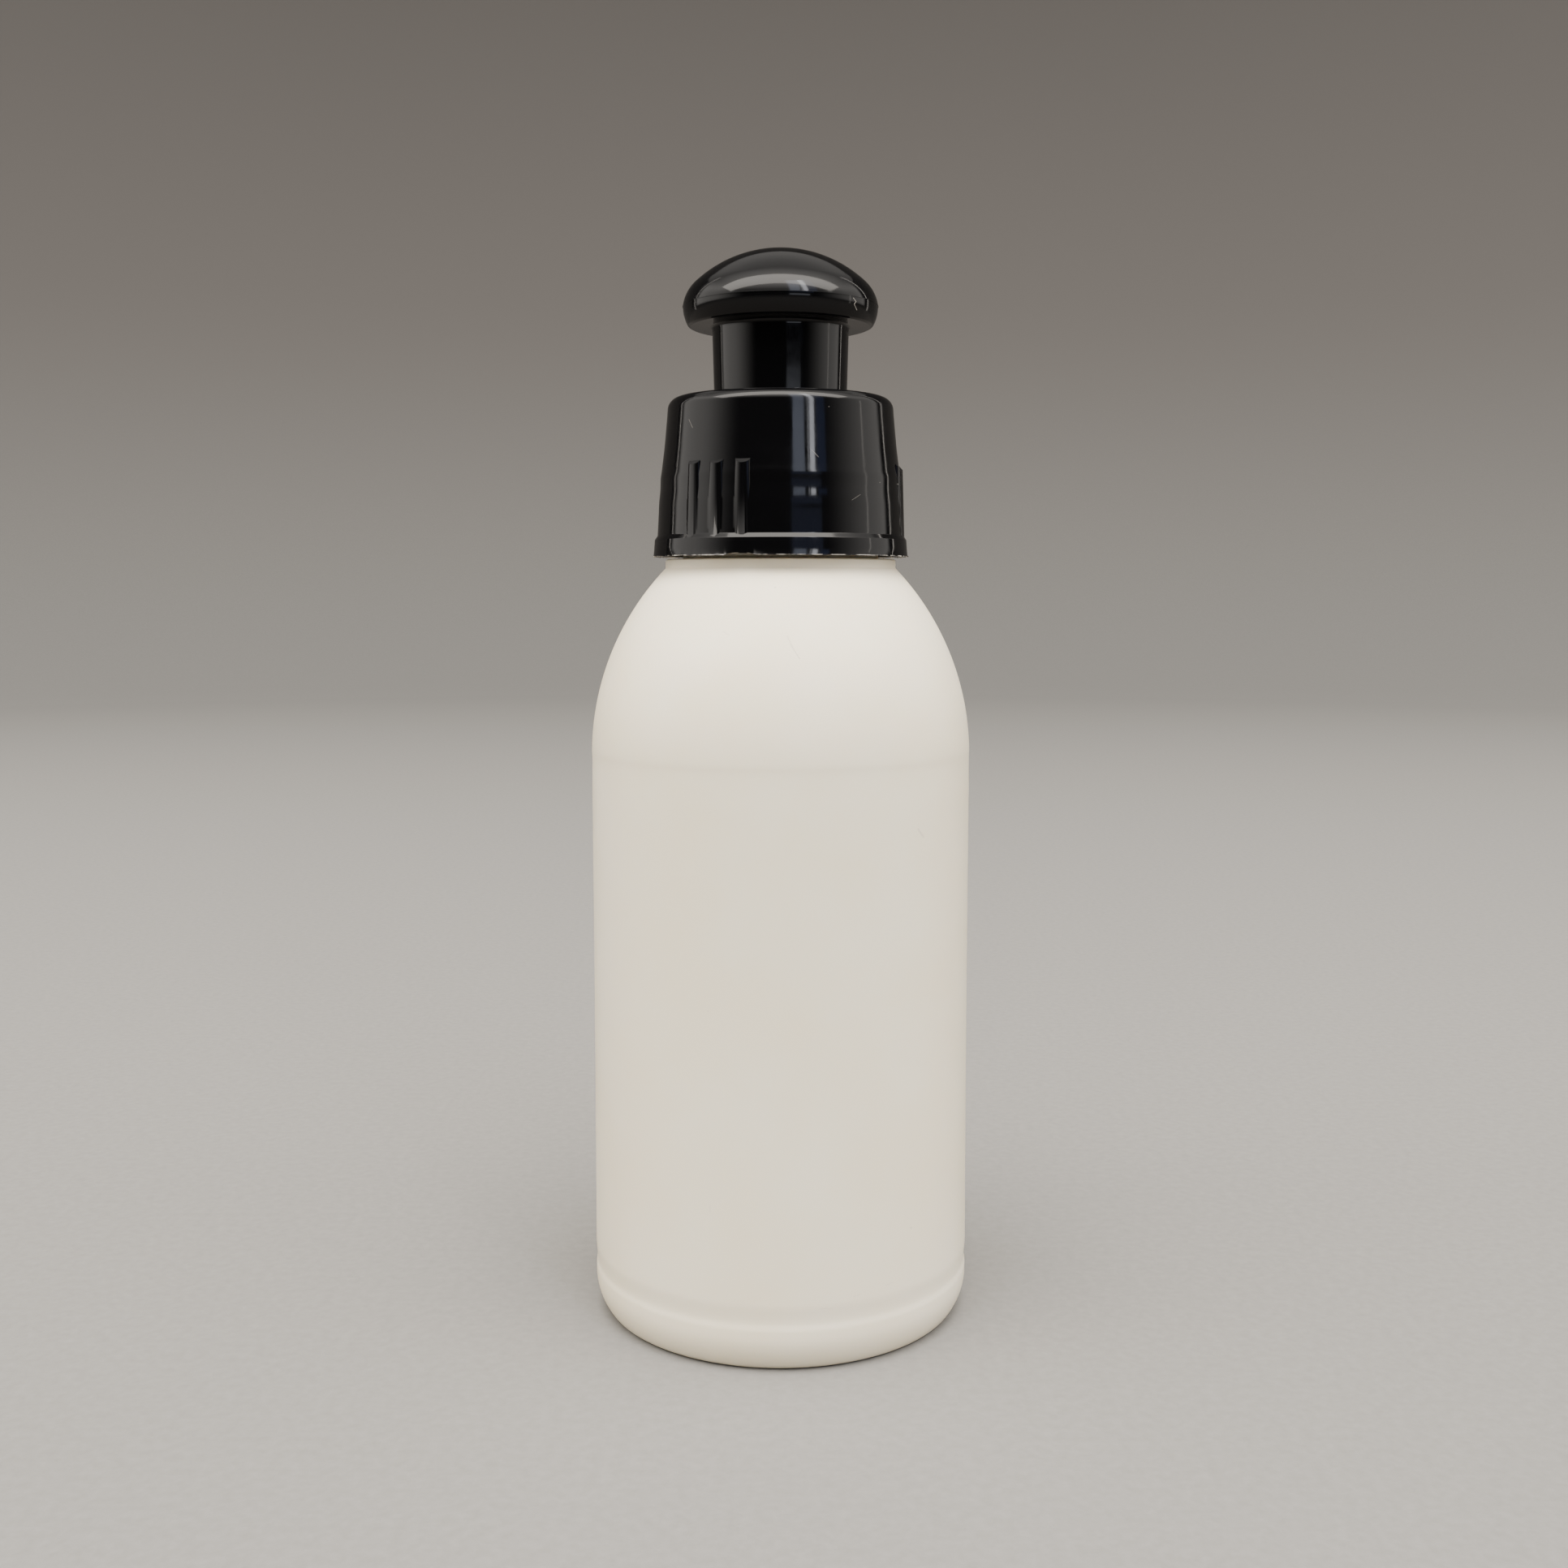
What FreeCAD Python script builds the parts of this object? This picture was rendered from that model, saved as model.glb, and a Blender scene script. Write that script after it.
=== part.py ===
"""Squeeze bottle with a screw closure and a domed push-pull head.

Millimetres, +Z up, origin in the middle of the standing ring. The head is pulled up (open) and the
closure is screwed down. Every outline is a half section: (distance from the axis, height).
"""
import FreeCAD, Part
import os
from math import cos, hypot, radians, sin, sqrt

UP = FreeCAD.Vector(0, 0, 1)
ORIGIN = FreeCAD.Vector(0, 0, 0)

# Bottle body
BODY_R = 21.0                      # nominal outer radius
HEEL_R = BODY_R + 0.16             # widest, just above the heel
WAIST_R = BODY_R + 0.035           # half way up
SHOULDER_R = BODY_R - 0.03         # where the straight side ends
WALL = 1.0
SHOULDER_Z = 62.8
HEEL_ARC_R = 6.1
HEEL_ARC_Z = 4.0
HEEL_CORNER_R = 1.2
GROOVE_Z = 5.6
GROOVE_HALF_W = 0.6
GROOVE_DEPTH = 0.13
RING_INNER_R = 16.6
PUSH_UP = 2.2
HALFWAY_RISE = 0.75                # share of the push-up's height left half way out to the ring
BASE_WALL = 1.2
HEEL_INNER_ARC_R = 3.0

# Collar, neck and screw thread
COLLAR_R = 12.66
COLLAR_Z = 83.4
COLLAR_TOP_Z = 84.35
NECK_R = 10.75
NECK_BORE_R = 9.15
NECK_BORE_Z = 84.6                 # lower end of the straight bore
THROAT_R = 10.2                    # where the shoulder's inner wall meets the throat's cone
THROAT_Z = 83.3
LIP_Z = 99.7
PITCH = 3.175
TURNS = 1.5
RIDGE_SINK = 0.25                  # how far a thread ridge runs into the wall that carries it
NECK_CREST_R = 11.8
NECK_THREAD_Z = 90.6               # middle of the ridge where it starts
NECK_RIDGE_W = 2.2                 # at the root
NECK_CREST_W = 1.0

# Screw closure
HEM_Z = 84.7
HEM_R = 13.98
HEM_TOP_R = 13.84
LEDGE_Z = 86.45
SKIRT_R = 13.53                    # at the top of the sloped ledge
SKIRT_Z = 86.9
KINK_R = 13.14
KINK_Z = 93.05
UPPER_R = 12.64                    # half way up the upper skirt
UPPER_Z = 97.0
DECK_Z = 101.75
DECK_T = 1.2
DECK_EDGE_R = 1.3
DECK_SIDE_R = 12.31                # where the deck's rounded edge starts
DRAFT_DEG = 5.5
SKIRT_BORE_R = 12.05
TOP_BORE_R = 11.2
CONE_Z = 96.8
CONE_H = 1.0
MOUTH_R = 12.85
MOUTH_H = 1.6
CAP_CREST_R = 11.05
CAP_RIDGE_W = 1.9
CAP_CREST_W = 0.8
THREAD_BIAS = 0.1                  # the closure's ridge sits this much above the middle of the gap

# Guide well, stopper post and outlet windows of the closure
DECK_HOLE_R = 7.5
HOLE_CHAMFER = 0.25
WELL_R = 8.0
WELL_WALL = 0.85
LIP_UNDER_Z = 100.2
FLOOR_Z = 91.0
FLOOR_T = 1.0
POST_TIP_R = 1.7
POST_FOOT_R = 2.6
POST_TOP_Z = 110.1
POST_STRAIGHT = 3.0
POST_CHAMFER = 0.5
WINDOW_INNER_R = 3.4
WINDOW_OUTER_R = 5.7
WINDOWS = 3
WINDOW_DEG = 84.0

# Grip ribs
RIB_GROUPS = 3
RIBS_PER_GROUP = 3
RIB_SPACING_DEG = 13.2
RIB_FIRST_GROUP_DEG = -120.6       # middle of the group left of the front
RIB_HALF_W = 0.9
RIB_LOW_Z = 86.5
RIB_LOW_R = 13.65
RIB_HIGH_Z = 94.05
RIB_HIGH_R = 13.4
RIB_END_Z = 94.6
RIB_SINK = 0.55                    # how far a rib's root lies under its crest
RIB_BACK = 0.3                     # how far its back lies behind the root

# Sealing washer
WASHER_INNER_R = 9.0
WASHER_OUTER_R = 11.05
FACE_GAP = 0.03

# Push-pull head
KNOB_R = 10.6
KNOB_Z = 111.5                     # widest, at the mould's parting line
KNOB_TOP_Z = 117.6
KNOB_UNDER_Z = 109.35
KNOB_UNDER_R = 9.75
KNOB_SIDE_R = 10.05
KNOB_SIDE_Z = 109.5
KNOB_CHEEK_R = 10.42
KNOB_CHEEK_Z = 110.35
KNOB_SHOULDER_R = 4.0
KNOB_SIDE_DEG = 7.0
STEM_TOP_R = 7.43
STEM_FOOT_R = 7.2
STEM_BORE_R = 6.0
STEM_BORE_Z = 113.4
FOOT_Z = 98.7
FOOT_CHAMFER_R = 0.4
FOOT_CHAMFER_Z = 0.5
BEAD_R = 7.92
BEAD_TOP_Z = 100.1
BEAD_SLOPE_Z = 0.3
ORIFICE_R = 1.75
ORIFICE_RIM = 0.25
ROOF_R = 3.6                       # flat part of the bore's ceiling
ROOF_Z = 115.8


def point(r, z):
    return FreeCAD.Vector(r, 0, z)


def outline(start, *steps):
    """Closed face in the XZ plane. A step is a point for a straight run, or (middle, end) for an arc."""
    edges = []
    here = start
    for step in steps + (start,):
        if isinstance(step[0], tuple):
            middle, there = step
            edges.append(Part.Arc(point(*here), point(*middle), point(*there)).toBSpline().toShape())
        else:
            there = step
            edges.append(Part.makeLine(point(*here), point(*there)))
        here = there
    return Part.Face(Part.Wire(edges))


def turned(start, *steps):
    return outline(start, *steps).revolve(ORIGIN, UP, 360)


def on_arc(centre, radius, degrees):
    angle = radians(degrees)
    return (centre[0] + radius * cos(angle), centre[1] + radius * sin(angle))


def leaving_upright(start, end):
    """(middle, end) of the arc that leaves start straight up and ends at end."""
    inward = start[0] - end[0]
    radius = hypot(inward, end[1] - start[1]) ** 2 / (2 * inward)
    rise = (end[1] - start[1]) / 2
    middle = (start[0] - radius + sqrt(radius ** 2 - rise ** 2), start[1] + rise)
    return (middle, end)


def thread(root_r, crest_r, root_w, crest_w, start_z):
    """Solid helical ridge; its root runs on a little past root_r, into the wall that carries it."""
    sink = RIDGE_SINK if root_r > crest_r else -RIDGE_SINK
    slope = (root_w - crest_w) / 2 / abs(crest_r - root_r)
    root_half = root_w / 2 + slope * abs(sink)
    corners = [(root_r + sink, start_z - root_half), (crest_r, start_z - crest_w / 2),
               (crest_r, start_z + crest_w / 2), (root_r + sink, start_z + root_half)]
    profile = Part.makePolygon([point(*corner) for corner in corners + corners[:1]])
    spine = Part.makeHelix(PITCH, PITCH * TURNS, root_r)
    spine.translate(UP * start_z)
    sweep = Part.BRepOffsetAPI.MakePipeShell(Part.Wire(spine.Edges))
    sweep.setFrenetMode(True)
    sweep.add(profile)
    sweep.build()
    sweep.makeSolid()
    return sweep.shape()


def bottle():
    heel_centre = (HEEL_R - HEEL_ARC_R, HEEL_ARC_Z)
    corner_drop = HEEL_ARC_Z - HEEL_CORNER_R
    corner_r = heel_centre[0] + sqrt((HEEL_ARC_R - HEEL_CORNER_R) ** 2 - corner_drop ** 2)
    corner_share = HEEL_ARC_R / (HEEL_ARC_R - HEEL_CORNER_R)
    corner_end = (heel_centre[0] + (corner_r - heel_centre[0]) * corner_share,
                  HEEL_ARC_Z - corner_drop * corner_share)
    inner_r = SHOULDER_R - WALL
    heel_inner_r = HEEL_R - WALL
    heel_inner = (heel_inner_r - HEEL_INNER_ARC_R, BASE_WALL + HEEL_INNER_ARC_R)
    throat_middle, _ = leaving_upright((inner_r, SHOULDER_Z), (THROAT_R, THROAT_Z))
    body = turned(
        (0, PUSH_UP),
        ((RING_INNER_R / 2, PUSH_UP * HALFWAY_RISE), (RING_INNER_R, 0)),
        (corner_r, 0),
        (on_arc((corner_r, HEEL_CORNER_R), HEEL_CORNER_R, -60), corner_end),
        (on_arc(heel_centre, HEEL_ARC_R, -17), (HEEL_R, HEEL_ARC_Z)),
        (HEEL_R, GROOVE_Z - GROOVE_HALF_W),
        ((HEEL_R - GROOVE_DEPTH, GROOVE_Z), (HEEL_R, GROOVE_Z + GROOVE_HALF_W)),
        ((WAIST_R, SHOULDER_Z / 2), (SHOULDER_R, SHOULDER_Z)),
        leaving_upright((SHOULDER_R, SHOULDER_Z), (COLLAR_R, COLLAR_Z)),
        (COLLAR_R, COLLAR_TOP_Z),
        (NECK_R, COLLAR_TOP_Z),
        (NECK_R, LIP_Z),
        (NECK_BORE_R, LIP_Z),
        (NECK_BORE_R, NECK_BORE_Z),
        (THROAT_R, THROAT_Z),
        (throat_middle, (inner_r, SHOULDER_Z)),
        (heel_inner_r, heel_inner[1]),
        (on_arc(heel_inner, HEEL_INNER_ARC_R, -45), (heel_inner[0], BASE_WALL)),
        (RING_INNER_R, BASE_WALL),
        ((RING_INNER_R / 2, PUSH_UP * HALFWAY_RISE + BASE_WALL), (0, PUSH_UP + BASE_WALL)),
    )
    ridge = thread(NECK_R, NECK_CREST_R, NECK_RIDGE_W, NECK_CREST_W, NECK_THREAD_Z)
    return body.fuse(ridge)


def rib(degrees):
    """Rounded vertical ridge, tallest just under its slanted top end."""
    stations = [(RIB_LOW_R, RIB_LOW_Z), (RIB_HIGH_R, RIB_HIGH_Z), (RIB_HIGH_R - RIB_SINK, RIB_END_Z)]
    sections = []
    for crest_r, z in stations:
        root_r = crest_r - RIB_SINK
        left = FreeCAD.Vector(root_r, -RIB_HALF_W, z)
        crest = FreeCAD.Vector(crest_r, 0, z)
        right = FreeCAD.Vector(root_r, RIB_HALF_W, z)
        back = FreeCAD.Vector(root_r - RIB_BACK, 0, z)
        face = Part.Arc(left, crest, right).toShape()
        edges = [face, Part.makeLine(right, back), Part.makeLine(back, left)]
        sections.append(Part.Wire(edges))
    ridge = Part.makeLoft(sections, True, True)
    ridge.rotate(ORIGIN, UP, degrees)
    return ridge


def ribs():
    ridges = []
    for group in range(RIB_GROUPS):
        middle = RIB_FIRST_GROUP_DEG + group * 360 / RIB_GROUPS
        for place in range(RIBS_PER_GROUP):
            ridges.append(rib(middle + (place - (RIBS_PER_GROUP - 1) / 2) * RIB_SPACING_DEG))
    return ridges


def outlet_windows():
    """Curved slots in the well's floor, between the stopper post's webs."""
    slots = []
    for number in range(WINDOWS):
        width = WINDOW_OUTER_R - WINDOW_INNER_R
        corner = point(WINDOW_INNER_R, FLOOR_Z - 2 * FLOOR_T)
        facing = FreeCAD.Vector(0, -1, 0)
        section = Part.makePlane(width, 3 * FLOOR_T, corner, facing, FreeCAD.Vector(1, 0, 0))
        slot = section.revolve(ORIGIN, UP, WINDOW_DEG)
        slot.rotate(ORIGIN, UP, number * 360 / WINDOWS)
        slots.append(slot)
    return slots


def screw_cap():
    edge_start_z = DECK_Z - DECK_EDGE_R + DECK_EDGE_R * sin(radians(DRAFT_DEG))
    edge_centre = (DECK_SIDE_R - DECK_EDGE_R * cos(radians(DRAFT_DEG)), DECK_Z - DECK_EDGE_R)
    well_outer_r = WELL_R + WELL_WALL
    under_deck = DECK_Z - DECK_T
    shell = turned(
        (MOUTH_R, HEM_Z),
        (HEM_R, HEM_Z),
        (HEM_TOP_R, LEDGE_Z),
        (SKIRT_R, SKIRT_Z),
        (KINK_R, KINK_Z),
        ((UPPER_R, UPPER_Z), (DECK_SIDE_R, edge_start_z)),
        (on_arc(edge_centre, DECK_EDGE_R, 50), (edge_centre[0], DECK_Z)),
        (DECK_HOLE_R + HOLE_CHAMFER, DECK_Z),
        (DECK_HOLE_R, DECK_Z - HOLE_CHAMFER),
        (DECK_HOLE_R, LIP_UNDER_Z + HOLE_CHAMFER),
        (WELL_R, LIP_UNDER_Z),
        (WELL_R, FLOOR_Z),
        (POST_FOOT_R, FLOOR_Z),
        (POST_TIP_R, POST_TOP_Z - POST_STRAIGHT),
        (POST_TIP_R, POST_TOP_Z - POST_CHAMFER),
        (POST_TIP_R - POST_CHAMFER, POST_TOP_Z),
        (0, POST_TOP_Z),
        (0, FLOOR_Z - FLOOR_T),
        (well_outer_r, FLOOR_Z - FLOOR_T),
        (well_outer_r, under_deck),
        (TOP_BORE_R, under_deck),
        (TOP_BORE_R, CONE_Z + CONE_H),
        (SKIRT_BORE_R, CONE_Z),
        (SKIRT_BORE_R, HEM_Z + MOUTH_H),
    )
    ridge_z = NECK_THREAD_Z - PITCH / 2 + THREAD_BIAS
    ridge = thread(SKIRT_BORE_R, CAP_CREST_R, CAP_RIDGE_W, CAP_CREST_W, ridge_z)
    return shell.multiFuse(ribs() + [ridge]).cut(Part.makeCompound(outlet_windows()))


def sealing_washer():
    low = LIP_Z + FACE_GAP
    high = DECK_Z - DECK_T - FACE_GAP
    inner, outer = WASHER_INNER_R, WASHER_OUTER_R
    return turned((inner, low), (outer, low), (outer, high), (inner, high))


def push_pull_head():
    side = radians(KNOB_SIDE_DEG)
    shoulder = (KNOB_R - KNOB_SHOULDER_R * cos(side), KNOB_Z - KNOB_SHOULDER_R * sin(side))
    rise = KNOB_TOP_Z - shoulder[1]
    crown_r = (rise ** 2 + shoulder[0] ** 2 - KNOB_SHOULDER_R ** 2) / (2 * (rise - KNOB_SHOULDER_R))
    crown_z = KNOB_TOP_Z - crown_r
    reach = hypot(shoulder[0], shoulder[1] - crown_z)
    meet = (shoulder[0] * crown_r / reach, crown_z + (shoulder[1] - crown_z) * crown_r / reach)
    rim_r = ORIFICE_R + ORIFICE_RIM
    rim_z = crown_z + sqrt(crown_r ** 2 - rim_r ** 2)
    crown_middle = (meet[0] / 2, crown_z + sqrt(crown_r ** 2 - (meet[0] / 2) ** 2))
    return turned(
        (STEM_BORE_R, FOOT_Z),
        (BEAD_R - FOOT_CHAMFER_R, FOOT_Z),
        (BEAD_R, FOOT_Z + FOOT_CHAMFER_Z),
        (BEAD_R, BEAD_TOP_Z - BEAD_SLOPE_Z),
        (STEM_FOOT_R, BEAD_TOP_Z),
        (STEM_TOP_R, KNOB_UNDER_Z),
        (KNOB_UNDER_R, KNOB_UNDER_Z),
        (KNOB_SIDE_R, KNOB_SIDE_Z),
        ((KNOB_CHEEK_R, KNOB_CHEEK_Z), (KNOB_R, KNOB_Z)),
        (on_arc(shoulder, KNOB_SHOULDER_R, 27), meet),
        (crown_middle, (rim_r, rim_z)),
        (ORIFICE_R, rim_z - ORIFICE_RIM),
        (ORIFICE_R, ROOF_Z),
        (ROOF_R, ROOF_Z),
        (STEM_BORE_R, STEM_BORE_Z),
    )


def main():
    os.makedirs("parts", exist_ok=True)
    nodes = {
        "bottle": bottle(),
        "sealing_washer": sealing_washer(),
        "screw_cap": screw_cap(),
        "push_pull_head": push_pull_head(),
    }
    for name, shape in nodes.items():
        print(name, len(shape.Solids), shape.isValid(), round(shape.Volume, 1))
        shape.Solids[0].exportStep("parts/" + name + ".step")


main()
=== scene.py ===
from math import acos, atan2, cos, degrees, exp, hypot, pi, radians, sin, sqrt, tan

import bpy
from mathutils import Matrix, Vector, noise


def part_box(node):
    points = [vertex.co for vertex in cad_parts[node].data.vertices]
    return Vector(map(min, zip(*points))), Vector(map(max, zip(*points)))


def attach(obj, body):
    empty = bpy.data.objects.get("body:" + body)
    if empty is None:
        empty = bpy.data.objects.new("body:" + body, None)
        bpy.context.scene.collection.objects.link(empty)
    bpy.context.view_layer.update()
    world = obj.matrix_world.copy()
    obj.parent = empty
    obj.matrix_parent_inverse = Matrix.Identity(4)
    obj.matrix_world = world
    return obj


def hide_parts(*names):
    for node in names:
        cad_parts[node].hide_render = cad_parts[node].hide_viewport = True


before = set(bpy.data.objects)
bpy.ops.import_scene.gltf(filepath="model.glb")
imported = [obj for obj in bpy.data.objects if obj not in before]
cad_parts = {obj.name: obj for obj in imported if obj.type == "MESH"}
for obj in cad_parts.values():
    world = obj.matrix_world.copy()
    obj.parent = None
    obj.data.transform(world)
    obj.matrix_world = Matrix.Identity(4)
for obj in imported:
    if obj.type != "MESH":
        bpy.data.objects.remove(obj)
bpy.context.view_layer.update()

# A small squeeze bottle, blow moulded in white polyethylene, under a glossy black closure moulded in
# polypropylene. The closure's domed head is pulled up. Sizes are in millimetres until MM turns them
# to metres, and a profile is a list of (distance from the axis, height, corner radius).
MM = 0.001
FRONT_DEG = -90.0

BOTTLE_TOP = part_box("bottle")[1][2] / MM
CAP_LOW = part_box("screw_cap")[0][2] / MM
WASHER_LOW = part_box("sealing_washer")[0]
WASHER_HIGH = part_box("sealing_washer")[1]
HEAD_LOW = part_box("push_pull_head")[0][2] / MM
HEAD_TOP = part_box("push_pull_head")[1][2] / MM

# Bottle. A groove is (middle height, reach below, reach above, depth).
HEEL_R = 21.16
WAIST_R = 21.035
SHOULDER_R = 20.97
SHOULDER_Z = 62.8
HEEL_ARC_R = 6.1
HEEL_ARC_Z = 4.0
HEEL_CORNER_R = 1.2
RING_R = 16.6
PUSH_UP = 2.2
WALL = 1.0
BASE_WALL = 1.2
INSIDE_HEEL_R = 3.0
HEEL_GROOVE = (5.6, 1.0, 2.1, 0.11)
SHOULDER_GROOVE = (62.7, 4.4, 0.9, 0.035)
COLLAR_R = 12.66
COLLAR_Z = 83.4
COLLAR_TOP = 84.35
NECK_R = 10.75
NECK_CREST_R = 11.8
NECK_ROOT = (10.2, 83.3)
BORE_R = 9.15
BORE_LOW = 84.6
SEAM_LOW = 1.3
SEAM_WIDTH = 0.16
SEAM_HEIGHT = 0.035
THREAD_PITCH = 3.175
THREAD_TURNS = 1.5
NECK_THREAD_Z = 90.6
BOTTLE_COLUMNS = 288

# Closure
HEM_R = 13.98
LEDGE_LOW = (13.84, 86.45)
LEDGE_TOP = (13.53, 86.9)
KINK = (13.14, 93.05)
UPPER_SKIRT = (12.64, 97.0)
DECK_Z = 101.75
DECK_EDGE_R = 1.3
DECK_SIDE_R = 12.31
SIDE_DRAFT = 5.5
HEM_BORE_R = 12.85
SKIRT_BORE_R = 12.05
SKIRT_CREST_R = 11.05
TOP_BORE_R = 11.2
DECK_UNDER = 100.55
DECK_HOLE_R = 7.5
WELL_R = 8.0
WELL_OUTER_R = 8.85
WELL_FLOOR_Z = 91.0
POST_R = 1.7
POST_FOOT_R = 2.6
POST_TOP = 110.1
CAP_COLUMNS = 300
RIB_CREST_LOW = 13.65
RIB_CREST_HIGH = 13.4
RIB_HIGH_Z = 94.05
RIB_SPACING = 13.2
RIB_GROUP_DEG = FRONT_DEG - 30.6

# Push-pull head
KNOB_R = 10.6
KNOB_Z = 111.5
KNOB_UNDER = 109.35
CROWN_TOP = 117.6
KNOB_SHOULDER_R = 4.0
STEM_TOP_R = 7.43
STEM_FOOT_R = 7.2
STEM_BORE_R = 6.0
BEAD_R = 7.92
BEAD_TOP = 99.8
UNDERSIDE_R = 9.75
RIM_FOOT = (10.05, 109.5)
ORIFICE_R = 1.75
CEILING_Z = 115.8
HEAD_COLUMNS = 288

# Small marks on the front: (x, z, x, z, half width mm, strength)
BOTTLE_MARKS = ((0.7, 76.4, 1.3, 75.2, 0.09, 0.5), (1.0, 75.6, 1.9, 74.2, 0.08, 0.7),
                (-5.9, 76.9, -5.2, 76.5, 0.10, 0.3), (14.2, 56.5, 14.8, 55.6, 0.14, 0.5),
                (4.0, 7.1, 5.3, 7.0, 0.06, 0.3), (7.6, 8.0, 8.4, 8.1, 0.06, 0.3),
                (11.0, 8.5, 11.8, 8.6, 0.06, 0.35), (-7.3, 17.9, -7.3, 17.1, 0.06, 0.35),
                (13.8, 14.0, 13.8, 13.9, 0.12, 0.5), (-0.6, 81.3, -0.5, 81.3, 0.12, 0.6))
CLOSURE_MARKS = ((3.2, 95.3, 3.9, 94.6, 0.035, 0.3), (-9.6, 98.8, -9.2, 97.9, 0.035, 0.25),
                 (7.4, 90.3, 8.3, 90.9, 0.03, 0.25))
HEAD_MARKS = ((7.6, 111.3, 7.9, 111.0, 0.05, 0.6), (7.9, 111.0, 7.7, 110.7, 0.05, 0.6),
              (7.7, 110.7, 8.0, 110.2, 0.05, 0.5))

# Studio
LENS = 38.87
CAMERA_AWAY = 188.6
CAMERA_UP = 81.3
CAMERA_DOWN_DEG = 6.62
CAMERA_LEFT_DEG = 0.115
FLOOR_R = 3900
BACKDROP_BEND_R = 1100
BACKDROP_HIGH = 1900
BACKDROP_SWEEP_DEG = 110
BACKDROP_TURN_DEG = 145


# ---------------------------------------------------------------- profiles

def on_circle(centre, radius, angle):
    return (centre[0] + radius * cos(radians(angle)), centre[1] + radius * sin(radians(angle)))


def arc(centre, radius, start, end, steps):
    """Points of an arc, both ends included, angles in degrees."""
    turn = (end - start) / steps
    return [on_circle(centre, radius, start + turn * step) + (0.0,) for step in range(steps + 1)]


def arc_through(start, middle, end, steps):
    """Points of the arc from start through middle to end, both ends included."""
    (ax, ay), (bx, by), (cx, cy) = start, middle, end
    twice = 2 * (ax * (by - cy) + bx * (cy - ay) + cx * (ay - by))
    aa, bb, cc = ax * ax + ay * ay, bx * bx + by * by, cx * cx + cy * cy
    centre = ((aa * (by - cy) + bb * (cy - ay) + cc * (ay - by)) / twice,
              (aa * (cx - bx) + bb * (ax - cx) + cc * (bx - ax)) / twice)
    first = degrees(atan2(ay - centre[1], ax - centre[0]))
    last = degrees(atan2(cy - centre[1], cx - centre[0]))
    half = degrees(atan2(by - centre[1], bx - centre[0]))
    sweep = (last - first) % 360
    if (half - first) % 360 > sweep:
        sweep -= 360
    radius = hypot(ax - centre[0], ay - centre[1])
    return arc(centre, radius, first, first + sweep, steps)


def upright_arc(start, end, steps):
    """Points of the arc that leaves start straight up and ends at end."""
    inward = start[0] - end[0]
    radius = hypot(inward, end[1] - start[1]) ** 2 / (2 * inward)
    last = degrees(atan2(end[1] - start[1], radius - inward))
    return arc((start[0] - radius, start[1]), radius, 0, last, steps)


def straight(start, end, spacing):
    """Points along a straight run, both ends included, about spacing apart."""
    count = max(1, round(hypot(end[0] - start[0], end[1] - start[1]) / spacing))
    return [(start[0] + (end[0] - start[0]) * n / count, start[1] + (end[1] - start[1]) * n / count, 0.0)
            for n in range(count + 1)]


def softened(corners, steps=4):
    """Rounds each corner that has a radius, and drops points that repeat."""
    points = []
    for index, (r, z, radius) in enumerate(corners):
        if radius == 0:
            points.append((r, z))
            continue
        here = Vector((r, z))
        before = Vector(corners[index - 1][:2]) - here
        after = Vector(corners[(index + 1) % len(corners)][:2]) - here
        half = before.angle(after) / 2
        reach = min(radius / tan(half), before.length * 0.49, after.length * 0.49)
        radius = reach * tan(half)
        centre = here + (before.normalized() + after.normalized()).normalized() * radius / sin(half)
        first = here + before.normalized() * reach - centre
        last = here + after.normalized() * reach - centre
        turn = first.angle_signed(last)
        for step in range(steps + 1):
            spoke = Matrix.Rotation(-turn * step / steps, 2) @ first
            points.append(tuple(centre + spoke))
    kept = points[:1]
    for before, here in zip(points, points[1:]):
        if hypot(here[0] - before[0], here[1] - before[1]) > 1e-4:
            kept.append(here)
    return kept


# ---------------------------------------------------------------- modelling

def object_mode():
    if bpy.context.object and bpy.context.object.mode != "OBJECT":
        bpy.ops.object.mode_set(mode="OBJECT")


def only(*objects):
    object_mode()
    bpy.ops.object.select_all(action="DESELECT")
    for thing in objects:
        thing.select_set(True)
    bpy.context.view_layer.objects.active = objects[-1]


def new_point(name, r, z):
    """A mesh object with one vertex in the XZ plane, left in edit mode with the vertex selected."""
    object_mode()
    bpy.ops.object.select_all(action="DESELECT")
    bpy.ops.mesh.primitive_plane_add(size=MM, location=(0, 0, 0))
    piece = bpy.context.object
    piece.name = name
    piece.data.name = name
    bpy.ops.object.mode_set(mode="EDIT")
    bpy.ops.mesh.select_all(action="SELECT")
    bpy.ops.mesh.merge(type="CENTER")
    bpy.ops.transform.translate(value=(r * MM, 0, z * MM))
    return piece


def draw(points):
    """Extrudes the selected vertex along the rest of a profile."""
    for before, after in zip(points, points[1:]):
        step = ((after[0] - before[0]) * MM, 0, (after[1] - before[1]) * MM)
        bpy.ops.mesh.extrude_region_move(TRANSFORM_OT_translate={"value": step})


def merged():
    """In edit mode: joins vertices that fall together and turns every face outwards."""
    bpy.ops.mesh.select_all(action="SELECT")
    bpy.ops.mesh.remove_doubles(threshold=0.002 * MM)
    bpy.ops.mesh.delete_loose(use_verts=True, use_edges=True, use_faces=False)
    bpy.ops.mesh.select_all(action="SELECT")
    bpy.ops.mesh.normals_make_consistent(inside=False)


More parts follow.
